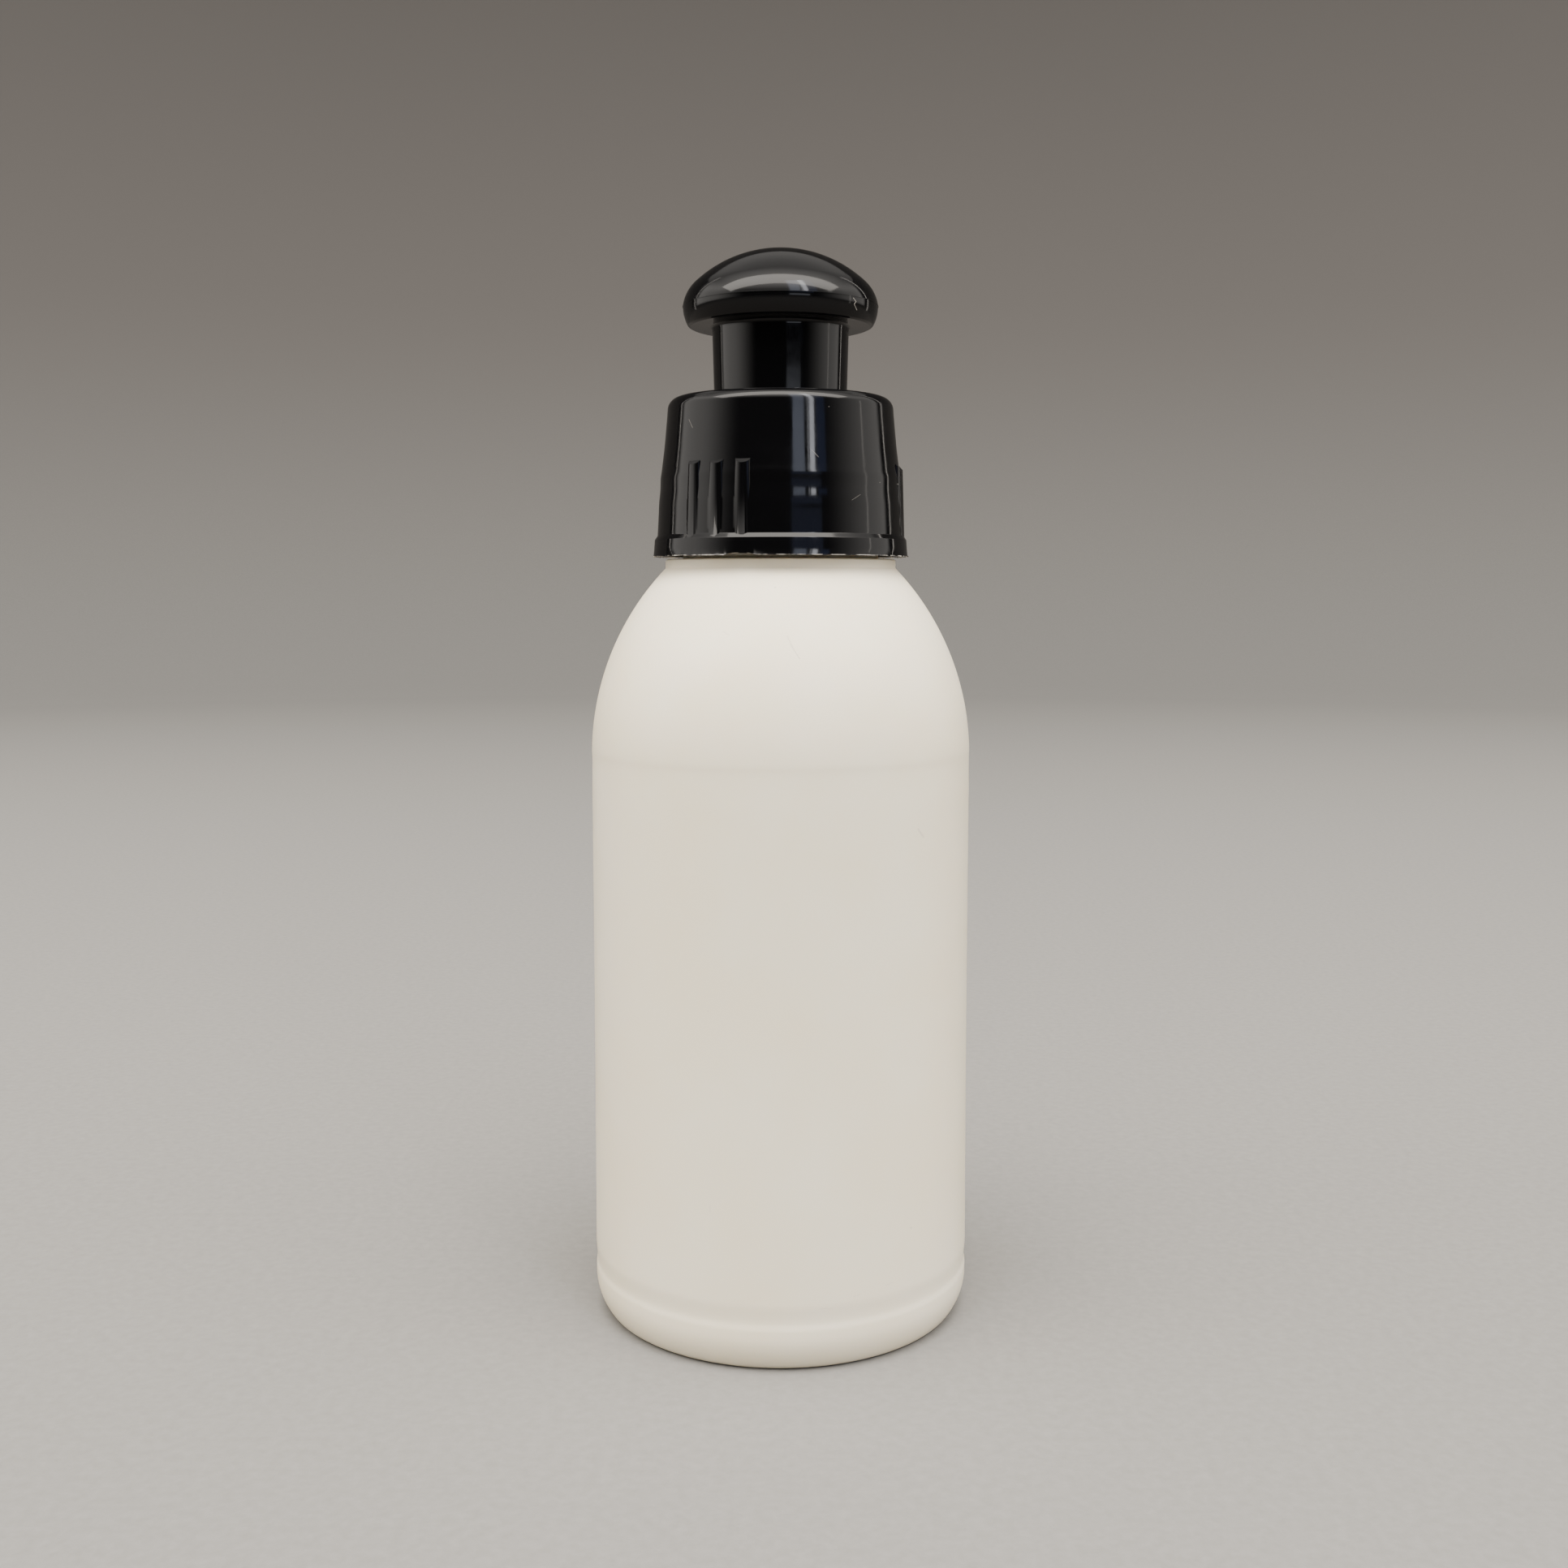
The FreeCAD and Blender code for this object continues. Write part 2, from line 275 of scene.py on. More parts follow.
def lathe(name, corners, columns):
    """Turns a closed profile, or one that starts and ends on the axis, into a solid of revolution."""
    points = softened(corners)
    if points[0][0] > 0 or points[-1][0] > 0:
        points.append(points[0])
    piece = new_point(name, *points[0])
    draw(points)
    bpy.ops.mesh.select_all(action="SELECT")
    bpy.ops.mesh.spin(steps=columns, angle=2 * pi, center=(0, 0, 0), axis=(0, 0, 1))
    merged()
    bpy.ops.object.mode_set(mode="OBJECT")
    return piece


def applied(piece, kind, **settings):
    """Adds a modifier, sets it and applies it."""
    only(piece)
    modifier = piece.modifiers.new(kind.title(), kind)
    for key, value in settings.items():
        setattr(modifier, key, value)
    bpy.ops.object.modifier_apply(modifier=modifier.name)


def combined(piece, tool, operation):
    """Joins a tool to a piece, or cuts it away, and deletes the tool."""
    applied(piece, "BOOLEAN", operation=operation, solver="MANIFOLD", object=tool)
    bpy.data.objects.remove(tool, do_unlink=True)


def finished(piece, angle=34):
    """Smooth shading with crisp edges, and flats that keep their own normals."""
    only(piece)
    bpy.ops.object.transform_apply(location=True, rotation=True, scale=True)
    bpy.ops.object.shade_smooth_by_angle(angle=radians(angle))
    applied(piece, "WEIGHTED_NORMAL", keep_sharp=True, weight=60)


def thread_ridge(name, wall_r, crest_r, root_w, crest_w, start_z):
    """One and a half turns of right-hand thread, its root sunk a little into the wall."""
    sink = 0.25 if wall_r > crest_r else -0.25
    points = [(wall_r + sink, start_z - root_w / 2), (crest_r, start_z - crest_w / 2),
              (crest_r, start_z + crest_w / 2), (wall_r + sink, start_z + root_w / 2)]
    piece = new_point(name, *points[0])
    draw(points + points[:1])
    bpy.ops.mesh.select_all(action="SELECT")
    bpy.ops.mesh.remove_doubles(threshold=0.002 * MM)
    bpy.ops.object.mode_set(mode="OBJECT")
    rise = THREAD_PITCH * THREAD_TURNS * MM
    applied(piece, "SCREW", axis="Z", angle=2 * pi * THREAD_TURNS, screw_offset=rise, steps=200,
            render_steps=200, use_merge_vertices=False)
    bpy.ops.object.mode_set(mode="EDIT")
    bpy.ops.mesh.select_all(action="SELECT")
    bpy.ops.mesh.fill_holes(sides=4)
    merged()
    bpy.ops.object.mode_set(mode="OBJECT")
    return piece


def vertices_where(piece, test):
    """In object mode: selects just the vertices that pass a test of (radius, angle, height), in mm and
    degrees."""
    only(piece)
    mesh = piece.data
    for part in (mesh.vertices, mesh.edges, mesh.polygons):
        part.foreach_set("select", [False] * len(part))
    for vertex in mesh.vertices:
        x, y, z = vertex.co / MM
        vertex.select = test(hypot(x, y), degrees(atan2(y, x)), z)


# ---------------------------------------------------------------- bottle

def grooved(points, groove):
    """Sinks a run of profile points into a shallow round groove: (height, reach below, above, depth)."""
    middle, below, above, depth = groove
    sunk = []
    for r, z, _ in points:
        share = min(1.0, abs(z - middle) / (below if z < middle else above))
        sunk.append((r - depth * (0.5 + 0.5 * cos(pi * share)), z, 0.0))
    return sunk


def bottle_profile():
    heel = (HEEL_R - HEEL_ARC_R, HEEL_ARC_Z)
    drop = HEEL_ARC_Z - HEEL_CORNER_R
    corner = (heel[0] + sqrt((HEEL_ARC_R - HEEL_CORNER_R) ** 2 - drop ** 2), HEEL_CORNER_R)
    tangent = degrees(atan2(corner[1] - heel[1], corner[0] - heel[0]))
    groove_low = HEEL_GROOVE[0] - HEEL_GROOVE[1]
    groove_high = HEEL_GROOVE[0] + HEEL_GROOVE[2]
    break_low = SHOULDER_GROOVE[0] - SHOULDER_GROOVE[1]
    halfway_up = PUSH_UP * 0.75
    outside = arc_through((0, PUSH_UP), (RING_R / 2, halfway_up), (RING_R, 0), 24)[:-1]
    outside += [(RING_R, 0, 0.6)]
    outside += arc(corner, HEEL_CORNER_R, -90, tangent, 6)
    outside += arc(heel, HEEL_ARC_R, tangent, 0, 12)[1:]
    outside += grooved(straight((HEEL_R, groove_low), (HEEL_R, groove_high), 0.13), HEEL_GROOVE)
    side = arc_through((HEEL_R, groove_high), (WAIST_R, SHOULDER_Z / 2), (SHOULDER_R, SHOULDER_Z), 180)
    side = [spot for number, spot in enumerate(side) if number % 4 == 0 or spot[1] > break_low]
    shoulder = upright_arc((SHOULDER_R, SHOULDER_Z), (COLLAR_R, COLLAR_Z), 80)[:-1]
    shoulder = [spot for number, spot in enumerate(shoulder) if number % 2 == 0 or spot[1] < 65]
    outside += grooved(side[1:] + shoulder[1:], SHOULDER_GROOVE)
    outside += [(COLLAR_R, COLLAR_Z, 0.25), (COLLAR_R, COLLAR_TOP, 0.18), (NECK_R, COLLAR_TOP, 0.2)]
    lip = [(NECK_R, BOTTLE_TOP, 0.3), (BORE_R, BOTTLE_TOP, 0.2)]
    inside = [(BORE_R, BORE_LOW, 0.8)]
    inside += upright_arc((SHOULDER_R - WALL, SHOULDER_Z), NECK_ROOT, 20)[::-1]
    bend = (HEEL_R - WALL - INSIDE_HEEL_R, BASE_WALL + INSIDE_HEEL_R)
    inside += arc(bend, INSIDE_HEEL_R, 0, -90, 8)
    inside += arc_through((RING_R, BASE_WALL), (RING_R / 2, halfway_up + BASE_WALL),
                          (0, PUSH_UP + BASE_WALL), 10)
    return outside + lip + inside


def make_bottle():
    """Blow moulded in two halves, so a fine parting line runs up both sides. It never stands prouder
    than the heel, the bottle's widest part."""
    piece = lathe("blown_bottle", bottle_profile(), BOTTLE_COLUMNS)
    half_column = 180 / BOTTLE_COLUMNS
    inner_r = HEEL_R - WALL + 0.09

    def on_parting_line(radius, angle, height):
        if min(abs(angle), 180 - abs(angle)) > half_column:
            return False
        if height < SHOULDER_Z:
            return height > SEAM_LOW and radius > inner_r
        return height < COLLAR_TOP - 0.1 and radius > shoulder_radius(height) - WALL * 0.4

    def on_crest(radius, angle, height):
        if radius > HEEL_R - 0.04:
            return False
        return on_parting_line(radius, angle, height) and abs(sin(radians(angle))) * radius < 0.01

    vertices_where(piece, on_parting_line)
    bpy.ops.object.mode_set(mode="EDIT")
    bpy.ops.mesh.select_mode(type="VERT")
    bpy.ops.mesh.bevel(offset=SEAM_WIDTH * MM, offset_type="OFFSET", segments=2, affect="EDGES")
    vertices_where(piece, on_crest)
    bpy.ops.object.mode_set(mode="EDIT")
    bpy.ops.transform.shrink_fatten(value=SEAM_HEIGHT * MM)
    bpy.ops.object.mode_set(mode="OBJECT")
    ridge = thread_ridge("neck_thread", NECK_R, NECK_CREST_R, 2.5, 1.0, NECK_THREAD_Z)
    combined(piece, ridge, "UNION")
    combined(piece, pinch_off(), "UNION")
    finished(piece)
    return piece


def shoulder_radius(height):
    """Outside radius of the shoulder's arc at a height, and of the collar above it."""
    inward = SHOULDER_R - COLLAR_R
    radius = hypot(inward, COLLAR_Z - SHOULDER_Z) ** 2 / (2 * inward)
    rise = min(height, COLLAR_Z) - SHOULDER_Z
    return SHOULDER_R - radius + sqrt(radius ** 2 - rise ** 2)


def pinch_off():
    """The weld bar across the pushed-up base, where the mould nipped the tube of plastic shut."""
    length, width, depth = 19.0, 0.7, 0.5
    bpy.ops.object.select_all(action="DESELECT")
    bpy.ops.mesh.primitive_cube_add(size=1, location=(0, 0, (PUSH_UP - 0.05) * MM),
                                    scale=(length * MM, width * MM, depth * MM))
    bar = bpy.context.object
    bpy.ops.object.transform_apply(location=True, rotation=True, scale=True)
    applied(bar, "BEVEL", width=0.18 * MM, segments=3)
    return bar


# ---------------------------------------------------------------- closure

def skirt_undulation(z):
    """Sink marks over the thread inside: the skin swells and dips a few hundredths of a millimetre."""
    waves = ((93.2, 0.015, 0.35), (91.9, -0.025, 0.7), (90.2, 0.028, 0.75), (89.0, 0.006, 0.7),
             (96.4, -0.006, 0.8), (98.6, 0.004, 0.8))
    return sum(height * exp(-((z - middle) / width) ** 2) for middle, height, width in waves)


def closure_profile():
    edge_z = DECK_Z - DECK_EDGE_R
    edge = (DECK_SIDE_R - DECK_EDGE_R * cos(radians(SIDE_DRAFT)), edge_z)
    side_end = (DECK_SIDE_R, edge_z + DECK_EDGE_R * sin(radians(SIDE_DRAFT)))
    lower = straight(LEDGE_TOP, KINK, 0.3)[1:]
    upper = arc_through(KINK, UPPER_SKIRT, side_end, 26)[1:]
    skirt = [(r + skirt_undulation(z), z, 0.0) for r, z, _ in lower + upper]
    corners = [(HEM_BORE_R, CAP_LOW, 0.1), (HEM_R - 0.1, CAP_LOW, 0.0), (HEM_R + 0.03, CAP_LOW - 0.04, 0.0),
               (HEM_R, CAP_LOW + 0.08, 0.0), (HEM_R - 0.07, CAP_LOW + 0.8, 0.0)]
    corners += [LEDGE_LOW + (0.1,), LEDGE_TOP + (0.12,)]
    corners += skirt
    corners += arc(edge, DECK_EDGE_R, SIDE_DRAFT, 90, 16)[1:]
    corners += straight((edge[0], DECK_Z), (DECK_HOLE_R + 0.3, DECK_Z), 0.6)[1:-1]
    corners += [(DECK_HOLE_R, DECK_Z, 0.22), (DECK_HOLE_R, 100.45, 0.1), (WELL_R, 100.2, 0.05),
                (WELL_R, WELL_FLOOR_Z, 0.3), (POST_FOOT_R, WELL_FLOOR_Z, 0.3),
                (POST_R, POST_TOP - 3.0, 0.5), (POST_R, POST_TOP, 0.5), (0, POST_TOP, 0.0),
                (0, WELL_FLOOR_Z - 1.0, 0.0), (WELL_OUTER_R, WELL_FLOOR_Z - 1.0, 0.25),
                (WELL_OUTER_R, DECK_UNDER, 0.2), (TOP_BORE_R, DECK_UNDER, 0.2), (TOP_BORE_R, 97.8, 0.3),
                (SKIRT_BORE_R, 96.8, 0.3), (SKIRT_BORE_R, CAP_LOW + 1.6, 0.3)]
    return corners


def grip_rib():
    """One rib: an oval bar, drafted with the skirt and sunk in it, its top end sliced off on a slant."""
    low_z, high_z = 86.3, RIB_HIGH_Z + 1.2
    low_deep, low_half, high_deep, high_half = 0.5, 1.06, 0.45, 0.78
    crest_slope = (RIB_CREST_HIGH - RIB_CREST_LOW) / (RIB_HIGH_Z - low_z)
    low_axis = RIB_CREST_LOW - low_deep
    high_axis = RIB_CREST_LOW + crest_slope * (high_z - low_z) - high_deep
    bpy.ops.object.select_all(action="DESELECT")
    bpy.ops.mesh.primitive_circle_add(vertices=96, radius=MM, fill_type="NGON",
                                      location=(low_axis * MM, 0, low_z * MM))
    rib = bpy.context.object
    bpy.ops.object.transform_apply(location=True, rotation=True, scale=True)
    bpy.ops.object.mode_set(mode="EDIT")
    bpy.ops.mesh.select_all(action="SELECT")
    bpy.ops.transform.resize(value=(low_deep, low_half, 1), center_override=(low_axis * MM, 0, low_z * MM))
    rise = ((high_axis - low_axis) * MM, 0, (high_z - low_z) * MM)
    bpy.ops.mesh.extrude_region_move(TRANSFORM_OT_translate={"value": rise})
    taper = (high_deep / low_deep, high_half / low_half, 1)
    bpy.ops.transform.resize(value=taper, center_override=(high_axis * MM, 0, high_z * MM))
    merged()
    bpy.ops.mesh.bisect(plane_co=(RIB_CREST_HIGH * MM, 0, RIB_HIGH_Z * MM), plane_no=(0.66, 0, 0.75),
                        clear_outer=True, use_fill=True)
    merged()
    bpy.ops.object.mode_set(mode="OBJECT")
    return rib


def grip_ribs():
    """Three groups of three ribs, each a turned copy of one."""
    first = grip_rib()
    ribs = None
    for group in range(3):
        for place in (-1, 0, 1):
            copy = first.copy()
            copy.data = first.data.copy()
            bpy.context.collection.objects.link(copy)
            copy.rotation_euler.z = radians(RIB_GROUP_DEG + 120 * group + RIB_SPACING * place)
            only(copy)
            bpy.ops.object.transform_apply(location=True, rotation=True, scale=True)
            if ribs:
                combined(ribs, copy, "UNION")
            else:
                ribs = copy
    bpy.data.objects.remove(first, do_unlink=True)
    return ribs


def outlet_windows():
    """Three curved slots through the well's floor."""
    inner, outer, low, high, sweep = 3.4, 5.7, WELL_FLOOR_Z - 2, WELL_FLOOR_Z + 1, 84
    points = [(inner, low), (outer, low), (outer, high), (inner, high)]
    slots = []
    for number in range(3):
        slot = new_point("outlet_window", *points[0])
        draw(points + points[:1])
        bpy.ops.mesh.select_all(action="SELECT")
        bpy.ops.mesh.remove_doubles(threshold=0.002 * MM)
        bpy.ops.mesh.spin(steps=24, angle=radians(sweep), center=(0, 0, 0), axis=(0, 0, 1))
        bpy.ops.mesh.select_all(action="SELECT")
        bpy.ops.mesh.fill_holes(sides=4)
        merged()
        bpy.ops.object.mode_set(mode="OBJECT")
        slot.rotation_euler.z = radians(120 * number)
        slots.append(slot)
    only(*slots)
    bpy.ops.object.join()
    bpy.ops.object.transform_apply(location=True, rotation=True, scale=True)
    return bpy.context.object


def ragged_hem(piece):
    """Feathered moulding flash: the thin lip under the hem wanders out, up and down along its edge."""
    tip = HEM_R + 0.03
    for vertex in piece.data.vertices:
        x, y, z = vertex.co / MM
        radius = hypot(x, y)
        if abs(radius - tip) > 0.004 or abs(z - (CAP_LOW - 0.04)) > 0.004:
            continue
        angle = atan2(y, x)
        spot = Vector((cos(angle), sin(angle), 0.0))
        coarse = noise.noise(spot * 9.0)
        fine = noise.noise(spot * 38.0 + Vector((3.0, 1.0, 7.0)))
        turn = degrees(angle) - FRONT_DEG
        amount = 1.0 - exp(-((turn - 14.0) / 30.0) ** 4)
        out = (0.04 + 0.07 * max(0.0, coarse) + 0.06 * fine) * amount
        lift = (-0.03 + 0.05 * coarse + 0.05 * fine) * amount
        lift += 0.24 * exp(-((turn + 17.0) / 5.5) ** 4)
        vertex.co.x += cos(angle) * out * MM
        vertex.co.y += sin(angle) * out * MM
        vertex.co.z += lift * MM


def make_closure():
    piece = lathe("ribbed_closure", closure_profile(), CAP_COLUMNS)
    ragged_hem(piece)
    thread_z = NECK_THREAD_Z - THREAD_PITCH / 2 + 0.1
    ridge = thread_ridge("closure_thread", SKIRT_BORE_R, SKIRT_CREST_R, 2.2, 0.8, thread_z)
    combined(piece, ridge, "UNION")
    combined(piece, grip_ribs(), "UNION")
    combined(piece, outlet_windows(), "DIFFERENCE")
    finished(piece)
    return piece


# ---------------------------------------------------------------- head and washer

def head_profile():
    """The dome is a tight arc at its shoulder that meets the wide arc of the crown without a corner."""
    side = 7.0
    shoulder = (KNOB_R - KNOB_SHOULDER_R * cos(radians(side)),
                KNOB_Z - KNOB_SHOULDER_R * sin(radians(side)))
    rise = CROWN_TOP - shoulder[1]
    crown_r = (rise ** 2 + shoulder[0] ** 2 - KNOB_SHOULDER_R ** 2) / (2 * (rise - KNOB_SHOULDER_R))
    crown = (0, CROWN_TOP - crown_r)
    meet = degrees(atan2(shoulder[1] - crown[1], shoulder[0]))
    last = degrees(acos((ORIFICE_R + 0.25) / crown_r))
    corners = [(STEM_BORE_R, HEAD_LOW, 0.2), (BEAD_R - 0.4, HEAD_LOW, 0.15),
               (BEAD_R, HEAD_LOW + 0.5, 0.15), (BEAD_R, BEAD_TOP, 0.1), (STEM_FOOT_R, BEAD_TOP + 0.3, 0.1)]
    corners += straight((STEM_FOOT_R, BEAD_TOP + 0.6), (STEM_TOP_R - 0.02, KNOB_UNDER - 0.6), 0.8)
    corners += [(STEM_TOP_R, KNOB_UNDER, 0.3), (UNDERSIDE_R, KNOB_UNDER, 0.2), RIM_FOOT + (0.2,)]
    corners += arc_through(RIM_FOOT, (10.42, 110.35), (KNOB_R - 0.02, KNOB_Z - 0.05), 12)[1:]
    corners += [(KNOB_R + 0.03, KNOB_Z - 0.04, 0.0), (KNOB_R + 0.03, KNOB_Z + 0.02, 0.0)]
    corners += arc(shoulder, KNOB_SHOULDER_R, side + 0.6, meet, 16)
    corners += arc(crown, crown_r, meet, last, 24)[1:]
    corners += [(ORIFICE_R, HEAD_TOP - 0.05, 0.2), (ORIFICE_R, CEILING_Z, 0.1), (3.6, CEILING_Z, 0.4),
                (STEM_BORE_R, CEILING_Z - 2.4, 0.6)]
    return corners


def make_head():
    piece = lathe("pull_head", head_profile(), HEAD_COLUMNS)
    finished(piece)
    return piece


def make_washer():
    inner, outer = 9.0, WASHER_HIGH[0] / MM
    low, high = WASHER_LOW[2] / MM, WASHER_HIGH[2] / MM
    corners = [(inner, low, 0.08), (outer, low, 0.08), (outer, high, 0.08), (inner, high, 0.08)]
    piece = lathe("foam_washer", corners, 128)
    finished(piece)
    return piece


# ---------------------------------------------------------------- materials

def colour(code):
    """sRGB hex to linear RGBA."""
    parts = [int(code[n:n + 2], 16) / 255 for n in (1, 3, 5)]
    return tuple(p / 12.92 if p <= 0.04045 else ((p + 0.055) / 1.055) ** 2.4 for p in parts) + (1.0,)


def add(tree, kind, output=None, **values):
    """Adds a node and gives the output asked for, or else the node. A lower-case name is one of its
    settings. A capitalised name, or i and a number, is an input, set to a value or linked to a socket.
    On a Mix node for colours, i6 and i7 are the two colours and output 2 is the result."""
    node = tree.nodes.new("ShaderNode" + kind)
    for name, value in values.items():
        if name in node.bl_rna.properties:
            setattr(node, name, value)
            continue
        socket = node.inputs[int(name[1:]) if name[1:].isdigit() else name.replace("_", " ")]
        if isinstance(value, bpy.types.NodeSocket):
            tree.links.new(value, socket)
        else:
            socket.default_value = value
    return node if output is None else node.outputs[output]


def new_material(name):
    material = bpy.data.materials.new(name)
    material.use_nodes = True
    tree = material.node_tree
    tree.nodes.clear()
    place = add(tree, "TexCoord", "Object")
    return material, tree, place


def per_metre(size_mm):
    """Noise scale whose features are about this many millimetres across."""
    return 1.0 / (size_mm * MM)


def segment_distance(tree, place, start, end):
    """Distance in metres, seen square from the front, from a line between two (x, z) points in mm."""
    first = (start[0] * MM, 0, start[1] * MM)
    run = ((end[0] - start[0]) * MM, 0, (end[1] - start[1]) * MM)
    flat = add(tree, "VectorMath", "Vector", operation="MULTIPLY", i0=place, i1=(1, 0, 1))
    away = add(tree, "VectorMath", "Vector", operation="SUBTRACT", i0=flat, i1=first)
    along = add(tree, "VectorMath", "Value", operation="DOT_PRODUCT", i0=away, i1=run)
    share = add(tree, "MapRange", "Result", Value=along, From_Max=run[0] ** 2 + run[2] ** 2)
    foot = add(tree, "VectorMath", "Vector", operation="SCALE", i0=run, Scale=share)
    return add(tree, "VectorMath", "Value", operation="DISTANCE", i0=away, i1=foot)


def scuffs(tree, place, lines):
    """Strength from 0 to 1 of small straight marks on the front half of a piece."""
    total = 0.0
    for x1, z1, x2, z2, half, strength in lines:
        line = segment_distance(tree, place, (x1, z1), (x2, z2))
        mark = add(tree, "MapRange", "Result", Value=line, From_Min=half * 0.3 * MM, From_Max=half * MM,
                   To_Min=strength, To_Max=0.0)
        total = add(tree, "Math", 0, operation="MAXIMUM", i0=mark, i1=total)
    depth = add(tree, "SeparateXYZ", "Y", Vector=place)
    front = add(tree, "MapRange", "Result", Value=depth, From_Min=-0.2 * MM, From_Max=0.2 * MM,
                To_Min=1.0, To_Max=0.0)
    return add(tree, "Math", 0, operation="MULTIPLY", i0=total, i1=front)


def scattered(tree, place, cell_mm, share, half):
    """Specks in some of the cells of a random grid, strength 0 to 1; half is their radius in cells."""
    cells = add(tree, "TexVoronoi", Vector=place, Scale=per_metre(cell_mm)).outputs
    pick = add(tree, "SeparateColor", "Red", Color=cells["Color"])
    chosen = add(tree, "Math", 0, operation="LESS_THAN", i0=pick, i1=share)
    speck = add(tree, "MapRange", "Result", Value=cells["Distance"], From_Min=half * 0.5, From_Max=half,
                To_Min=1.0, To_Max=0.0)
    return add(tree, "Math", 0, operation="MULTIPLY", i0=speck, i1=chosen)


def polyethylene():
    """High-density polyethylene, blow moulded: waxy off-white, satin, faint orange peel, light scuffs."""
    material, tree, place = new_material("blow_moulded_polyethylene")
    cloud_noise = add(tree, "TexNoise", "Fac", Vector=place, Scale=per_metre(14), Detail=3.0)
    clouding = add(tree, "MapRange", "Result", Value=cloud_noise, From_Min=0.35, From_Max=0.65)
    base = add(tree, "Mix", 2, data_type="RGBA", i0=clouding, i6=colour("#F4E8CE"), i7=colour("#F6ECD6"))
    dark_marks = scuffs(tree, place, BOTTLE_MARKS)
    handling = scattered(tree, place, 9, 0.25, 0.016)
    dirt = add(tree, "Math", 0, operation="MAXIMUM", i0=dark_marks, i1=handling)
    dirt = add(tree, "Math", 0, operation="MULTIPLY", i0=dirt, i1=0.45)
    base = add(tree, "Mix", 2, data_type="RGBA", i0=dirt, i6=base, i7=colour("#8C857A"))
    handling_noise = add(tree, "TexNoise", "Fac", Vector=place, Scale=per_metre(5), Detail=4.0,
                         Roughness=0.6)
    rough = add(tree, "MapRange", "Result", Value=handling_noise, From_Min=0.3, From_Max=0.7,
                To_Min=0.33, To_Max=0.43)
    peel = add(tree, "TexNoise", "Fac", Vector=place, Scale=per_metre(0.55), Detail=2.0)
    sag = add(tree, "TexNoise", "Fac", Vector=place, Scale=per_metre(11), Detail=1.0)
    height = add(tree, "Math", 0, operation="MULTIPLY", i0=sag, i1=0.05)
    height = add(tree, "Math", 0, operation="MULTIPLY_ADD", i0=peel, i1=0.004, i2=height)
    height = add(tree, "Math", 0, operation="MULTIPLY_ADD", i0=dark_marks, i1=-0.02, i2=height)
    bump = add(tree, "Bump", "Normal", Strength=0.6, Distance=MM, Height=height)
    shader = add(tree, "BsdfPrincipled", "BSDF", Base_Color=base, Roughness=rough, Normal=bump, IOR=1.54,
                 Subsurface_Weight=0.25, Subsurface_Radius=(1.0, 0.85, 0.65), Subsurface_Scale=1.6 * MM)
    add(tree, "OutputMaterial", Surface=shader)
    return material


def black_polypropylene(name, marks, burr_below=None):
    """Polypropylene with carbon black, injection moulded in a polished tool: deep gloss, slight ripple,
    dust and pale scratches, and a whitened burr where the moulding flash was torn off."""
    material, tree, place = new_material(name)
    dust = scattered(tree, place, 2.4, 0.35, 0.028)
    dust = add(tree, "Math", 0, operation="MULTIPLY", i0=dust, i1=0.5)
    pale = add(tree, "Math", 0, operation="MAXIMUM", i0=dust, i1=scuffs(tree, place, marks))
    if burr_below:
        height = add(tree, "SeparateXYZ", "Z", Vector=place)
        edge = add(tree, "MapRange", "Result", Value=height, From_Min=(burr_below - 0.02) * MM,
                   From_Max=(burr_below + 0.03) * MM, To_Min=1.0, To_Max=0.0)
        tear = add(tree, "TexNoise", "Fac", Vector=place, Scale=per_metre(1.3), Detail=3.0, Roughness=0.7)
        torn = add(tree, "MapRange", "Result", Value=tear, From_Min=0.47, From_Max=0.6, To_Max=0.9)
        burr = add(tree, "Math", 0, operation="MULTIPLY", i0=edge, i1=torn)
        pale = add(tree, "Math", 0, operation="MAXIMUM", i0=pale, i1=burr)
    base = add(tree, "Mix", 2, data_type="RGBA", i0=pale, i6=colour("#060607"), i7=colour("#A8A49C"))
    wipe = add(tree, "TexNoise", "Fac", Vector=place, Scale=per_metre(4), Detail=5.0, Roughness=0.65)
    rough = add(tree, "MapRange", "Result", Value=wipe, From_Min=0.35, From_Max=0.7, To_Min=0.06,
                To_Max=0.13)
    matt = add(tree, "Math", 0, operation="MULTIPLY", i0=pale, i1=0.6)
    rough = add(tree, "Math", 0, operation="MAXIMUM", i0=rough, i1=matt)
    ripple = add(tree, "TexNoise", "Fac", Vector=place, Scale=per_metre(3.5), Detail=2.0)
    bump = add(tree, "Bump", "Normal", Strength=0.5, Distance=0.012 * MM, Height=ripple)
    shader = add(tree, "BsdfPrincipled", "BSDF", Base_Color=base, Roughness=rough, Normal=bump, IOR=1.49)
    add(tree, "OutputMaterial", Surface=shader)
    return material


def foamed_polyethylene():
    """Foamed polyethylene wad: matt white, with fine closed cells."""
    material, tree, place = new_material("foamed_polyethylene")
    cells = add(tree, "TexVoronoi", "Distance", Vector=place, Scale=per_metre(0.25))
    base = add(tree, "Mix", 2, data_type="RGBA", i0=cells, i6=colour("#DAD9D4"), i7=colour("#EEEDE9"))
    bump = add(tree, "Bump", "Normal", Strength=0.4, Distance=0.05 * MM, Height=cells)
    shader = add(tree, "BsdfPrincipled", "BSDF", Base_Color=base, Roughness=0.7, Normal=bump, IOR=1.5)
    add(tree, "OutputMaterial", Surface=shader)
    return material


